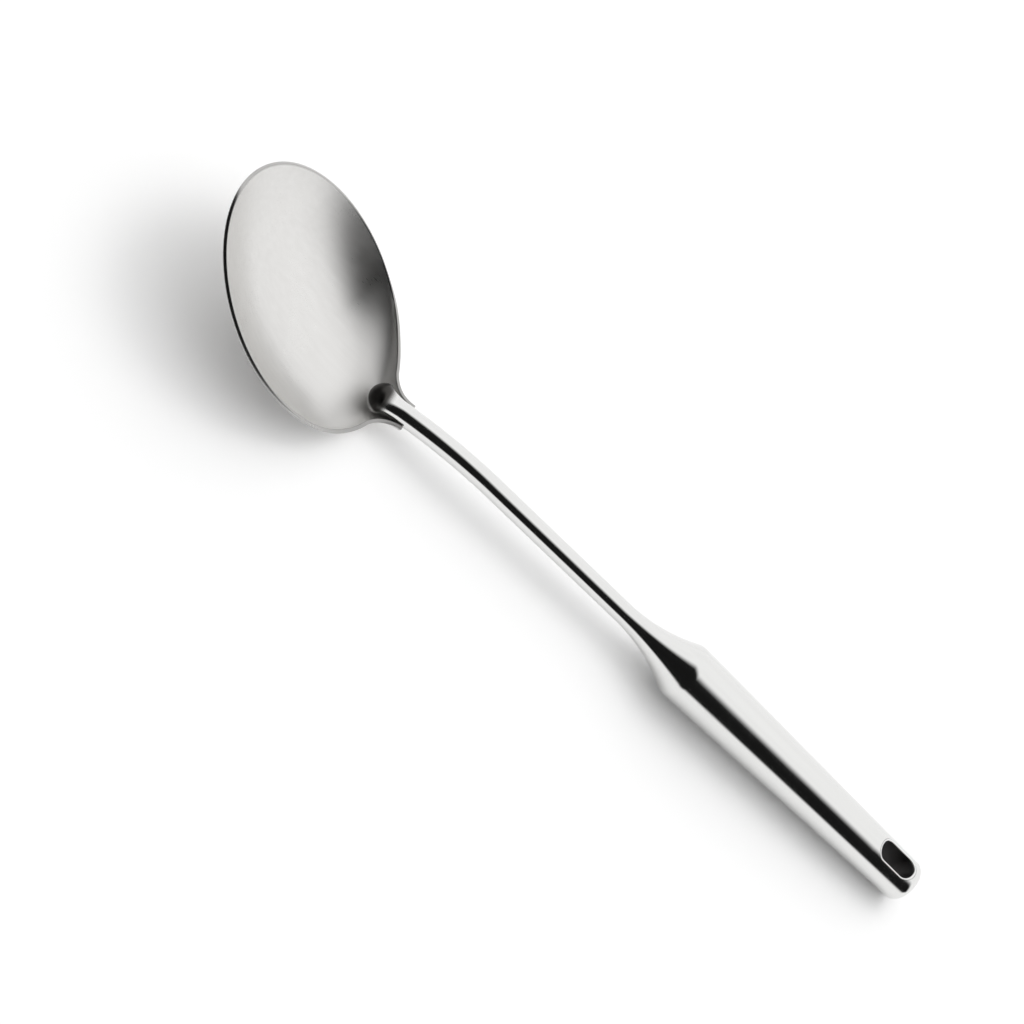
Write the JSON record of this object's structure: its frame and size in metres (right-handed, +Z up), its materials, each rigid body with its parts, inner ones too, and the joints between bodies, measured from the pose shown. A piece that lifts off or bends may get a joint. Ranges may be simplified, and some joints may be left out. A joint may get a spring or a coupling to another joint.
{
  "type": "serving spoon",
  "caption": "Stainless steel serving spoon with a pressed oval bowl, a round stem and a hollow tapered handle with a hanging slot.",
  "frame": {"origin": "on the ground below the middle of the spoon's length and width, as it lies at rest", "axes": "+X along the spoon from the bowl's tip to the handle's end, +Z up out of the bowl, +Y to the left seen from the bowl toward the handle"},
  "size_m": [0.3202, 0.0646, 0.0392],
  "materials": {
    "satin_steel": "fine satin brushing",
    "polished_steel": "mirror polish",
    "sleeve_steel": "polished lip, duller bore"
  },
  "bodies": {
    "root": {"bowl": "satin_steel", "stem": "polished_steel", "handle_tube": "polished_steel", "hanging_sleeve": "sleeve_steel", "end_cap": "polished_steel"}
  },
  "joints": []
}
